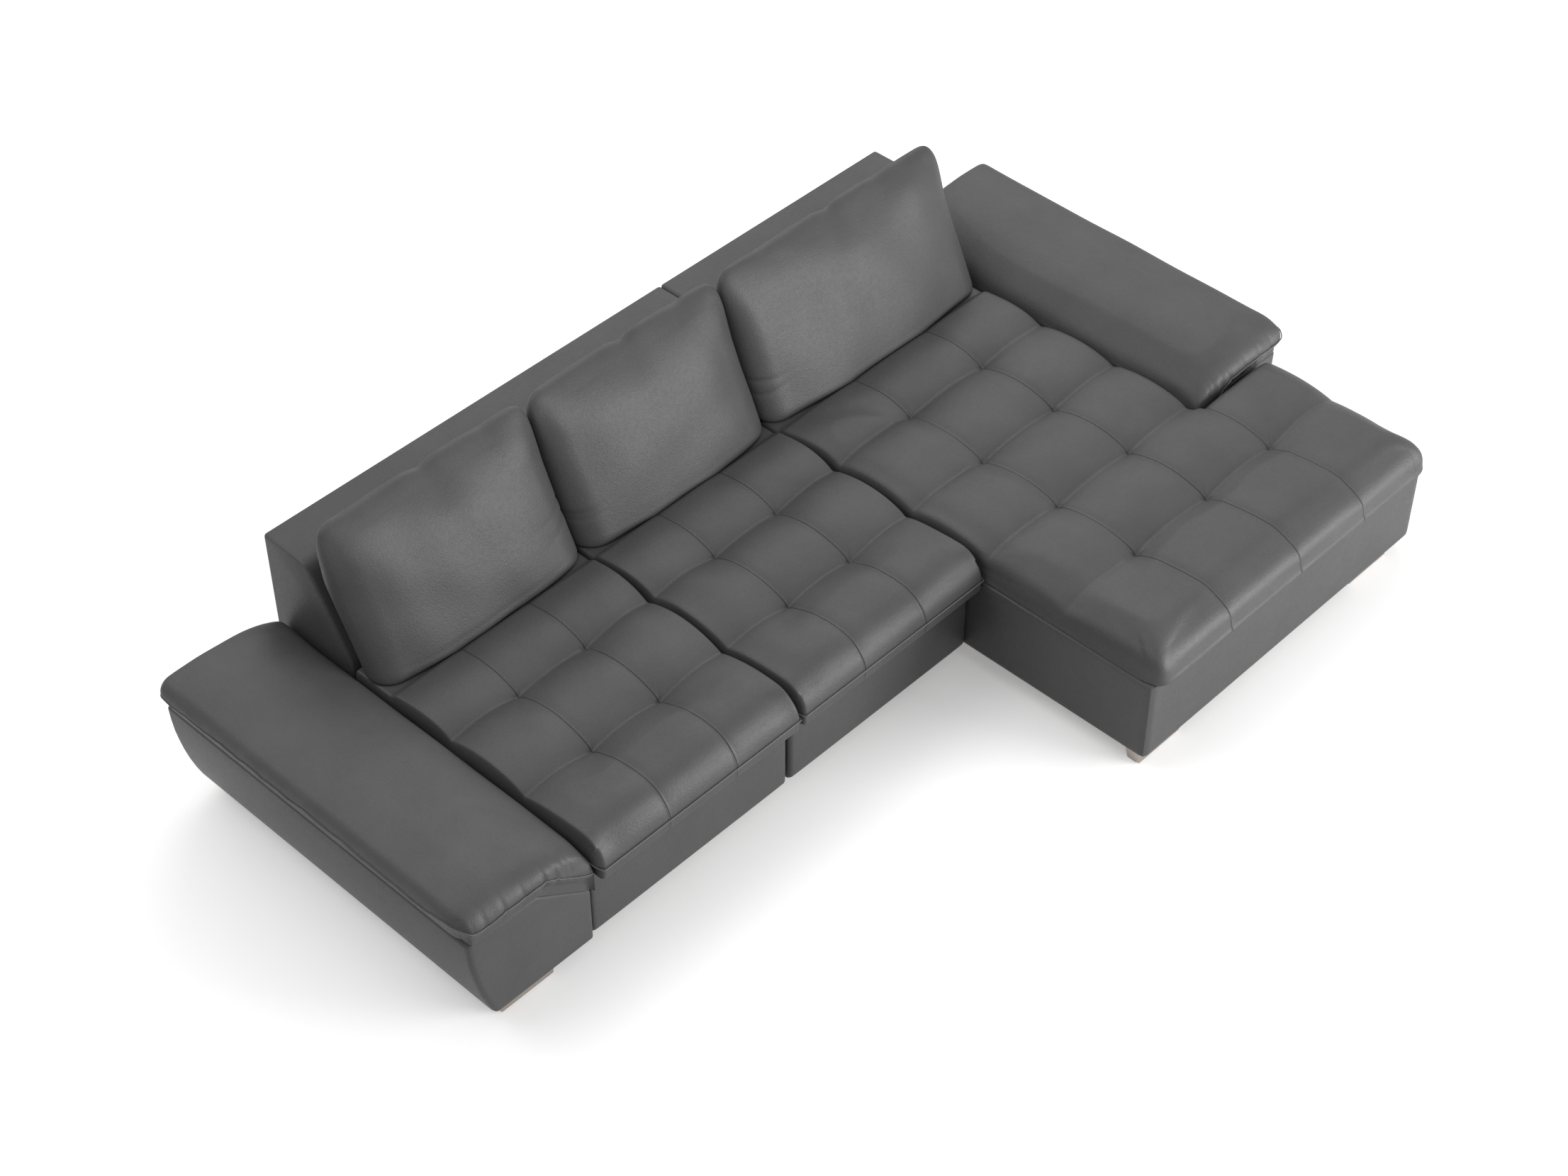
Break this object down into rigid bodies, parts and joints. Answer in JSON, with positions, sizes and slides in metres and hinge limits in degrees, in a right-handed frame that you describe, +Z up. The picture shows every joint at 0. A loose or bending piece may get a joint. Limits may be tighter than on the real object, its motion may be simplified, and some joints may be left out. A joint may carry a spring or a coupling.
{
  "type": "corner sofa",
  "caption": "Corner sofa with a chaise: tufted grey leather seats, loose back cushions, sloping padded arms, drawers under the seats and a storage box in the chaise.",
  "frame": {"origin": "on the floor under the middle of the whole sofa's box", "axes": "+X from the left arm to the right arm as a person facing the front sees them, -Y towards the front, +Z up"},
  "size_m": [2.9496, 1.705, 0.7685],
  "materials": {
    "grey_leather": "satin",
    "foot_nickel": "satin",
    "zinc_steel": "satin",
    "plywood": "matte",
    "beech": "matte",
    "webbing": "matte",
    "felt": "matte",
    "black_plastic": "matte"
  },
  "bodies": {
    "frame": {"chaise_back_cover": "grey_leather", "chaise_back_rails": "beech", "chaise_back_ribs": "plywood", "chaise_cover": "grey_leather", "chaise_floor_board": "plywood", "chaise_front_board": "plywood", "chaise_inner_board": "plywood", "chaise_left_board": "plywood", "chaise_left_foot": "foot_nickel", "chaise_outer_board": "plywood", "chaise_rear_board": "plywood", "chaise_right_foot": "foot_nickel", "chaise_step_board": "plywood", "drawer_partition": "plywood", "drawer_runners": "zinc_steel", "foot_glides": "felt", "foot_studs": "zinc_steel", "left_arm_base_board": "plywood", "left_arm_cover": "grey_leather", "left_arm_front_foot": "foot_nickel", "left_arm_pad": "grey_leather", "left_arm_ribs": "plywood", "left_seat_cushion": "grey_leather", "lid_hinge_brackets": "zinc_steel", "lid_hinge_pins": "zinc_steel", "rear_feet": "foot_nickel", "right_arm_base_board": "plywood", "right_arm_cover": "grey_leather", "right_arm_pad": "grey_leather", "right_arm_ribs": "plywood", "right_seat_cushion": "grey_leather", "runner_boards": "plywood", "seat_back_cover": "grey_leather", "seat_back_rails": "beech", "seat_back_ribs": "plywood", "seat_cross_rails": "beech", "seat_front_rail": "beech", "seat_rear_rail": "beech", "seat_straps_crosswise": "webbing", "seat_straps_lengthwise": "webbing", "section_bolts": "zinc_steel", "support_legs": "black_plastic"},
    "left_drawer": {"left_drawer_back": "plywood", "left_drawer_floor": "plywood", "left_drawer_front": "grey_leather", "left_drawer_front_board": "plywood", "left_drawer_sides": "plywood", "left_drawer_slides": "zinc_steel"},
    "right_drawer": {"right_drawer_back": "plywood", "right_drawer_floor": "plywood", "right_drawer_front": "grey_leather", "right_drawer_front_board": "plywood", "right_drawer_sides": "plywood", "right_drawer_slides": "zinc_steel"},
    "chaise_lid": {"chaise_lid_board": "plywood", "chaise_cushion": "grey_leather", "lid_hinge_leaves": "zinc_steel"},
    "left_back_cushion": {"left_back_cushion": "grey_leather"},
    "middle_back_cushion": {"middle_back_cushion": "grey_leather"},
    "chaise_back_cushion": {"chaise_back_cushion": "grey_leather"}
  },
  "joints": [
    {"name": "left_drawer_slide", "type": "slide", "parent": "frame", "child": "left_drawer", "axis": [0, -1, 0], "range_m": [0, 0.5]},
    {"name": "right_drawer_slide", "type": "slide", "parent": "frame", "child": "right_drawer", "axis": [0, -1, 0], "range_m": [0, 0.5]},
    {"name": "chaise_lid_hinge", "type": "hinge", "parent": "frame", "child": "chaise_lid", "pos_m": [0.665, 0.5075, 0.3085], "axis": [-1, 0, 0], "range_deg": [0, 35]},
    {"name": "left_back_cushion_lift", "type": "slide", "parent": "frame", "child": "left_back_cushion", "axis": [0, 0, 1], "range_m": [0, 0.4]},
    {"name": "middle_back_cushion_lift", "type": "slide", "parent": "frame", "child": "middle_back_cushion", "axis": [0, 0, 1], "range_m": [0, 0.4]},
    {"name": "chaise_back_cushion_lift", "type": "slide", "parent": "frame", "child": "chaise_back_cushion", "axis": [0, 0, 1], "range_m": [0, 0.4]}
  ],
  "couplings": [
    {"joint": "chaise_back_cushion_lift", "follows": "chaise_lid_hinge", "m_per_rad": 0.5}
  ]
}
